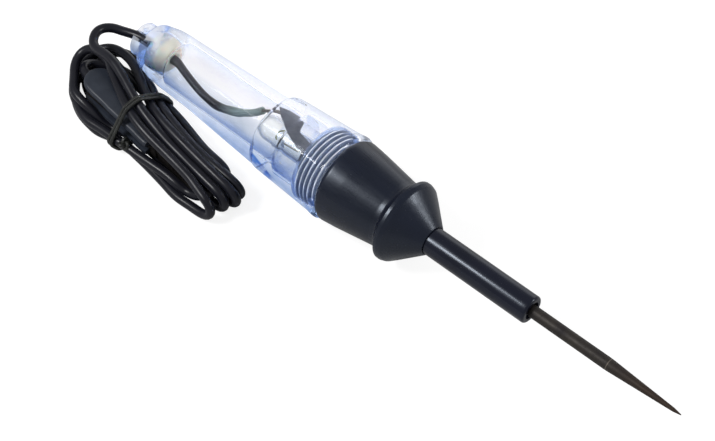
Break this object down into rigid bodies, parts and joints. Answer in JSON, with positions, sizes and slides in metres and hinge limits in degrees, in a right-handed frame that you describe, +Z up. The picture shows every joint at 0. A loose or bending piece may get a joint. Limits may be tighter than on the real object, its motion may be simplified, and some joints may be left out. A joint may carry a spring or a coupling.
{
  "type": "automotive voltage tester",
  "caption": "Hand-held voltage tester: a pointed probe in a screw-on black nose, a lamp in a clear handle and an earth lead tied in a hank with its clip.",
  "frame": {"origin": "on the surface under the middle of the tester, which lies on its collar with its hank beside it", "axes": "+X from the cable boss to the probe's tip, +Y away from the hank, +Z up"},
  "size_m": [0.172, 0.0347, 0.0217],
  "materials": {
    "handle": "clear plastic with a faint blue tint, scuffed",
    "nose_cap": "satin black moulded plastic",
    "probe_sleeve": "glossy black plastic",
    "probe": "darkened steel with brown patina",
    "probe_nut": "turned brass",
    "contact_spring": "spring wire",
    "lamp_base": "drawn brass",
    "lamp_insulator": "black insulator",
    "lamp_contact": "solder",
    "lamp_glass": "clear glass",
    "lamp_supports": "drawn wire",
    "lamp_filament": "coiled wire",
    "socket_shell": "pressed sheet metal",
    "lamp_holder": "clear moulded plastic",
    "contact_leaf": "dull sheet metal",
    "lead_strands": "tinned copper strands",
    "inner_lead": "satin black vinyl",
    "cord_plug": "cream plastic",
    "lead_run": "satin black vinyl",
    "lead_hank": "satin black vinyl",
    "hank_tie": "black elastic",
    "lead_tail": "satin black vinyl",
    "clip_ferrule": "crimped brass",
    "clip_lower_jaw": "pressed sheet steel, tarnished plating",
    "clip_upper_jaw": "pressed sheet steel, tarnished plating",
    "clip_pin": "riveted pin",
    "clip_spring": "spring wire",
    "clip_lower_grip": "slate grey soft vinyl",
    "clip_upper_grip": "slate grey soft vinyl"
  },
  "bodies": {
    "tester": {"handle": "handle", "lamp_base": "lamp_base", "lamp_insulator": "lamp_insulator", "lamp_contact": "lamp_contact", "lamp_glass": "lamp_glass", "lamp_supports": "lamp_supports", "lamp_filament": "lamp_filament", "socket_shell": "socket_shell", "lamp_holder": "lamp_holder", "contact_leaf": "contact_leaf", "lead_strands": "lead_strands", "inner_lead": "inner_lead", "cord_plug": "cord_plug", "lead_run": "lead_run", "lead_hank": "lead_hank", "hank_tie": "hank_tie", "lead_tail": "lead_tail", "clip_ferrule": "clip_ferrule", "clip_lower_jaw": "clip_lower_jaw", "clip_upper_jaw": "clip_upper_jaw", "clip_pin": "clip_pin", "clip_spring": "clip_spring", "clip_lower_grip": "clip_lower_grip", "clip_upper_grip": "clip_upper_grip"},
    "nose_feed": {"contact_spring": "contact_spring"},
    "nose": {"nose_cap": "nose_cap", "probe_sleeve": "probe_sleeve", "probe": "probe", "probe_nut": "probe_nut"}
  },
  "joints": [
    {"name": "nose_slide", "type": "slide", "parent": "tester", "child": "nose_feed", "axis": [1, 0, 0], "range_m": [0, 0.00625]},
    {"name": "nose_turn", "type": "hinge", "parent": "nose_feed", "child": "nose", "pos_m": [-0.0005, 0, 0.01085], "axis": [1, 0, 0], "range_deg": [0, 1800]}
  ],
  "couplings": [
    {"joint": "nose_turn", "follows": "nose_slide", "rad_per_m": 5026.5}
  ]
}
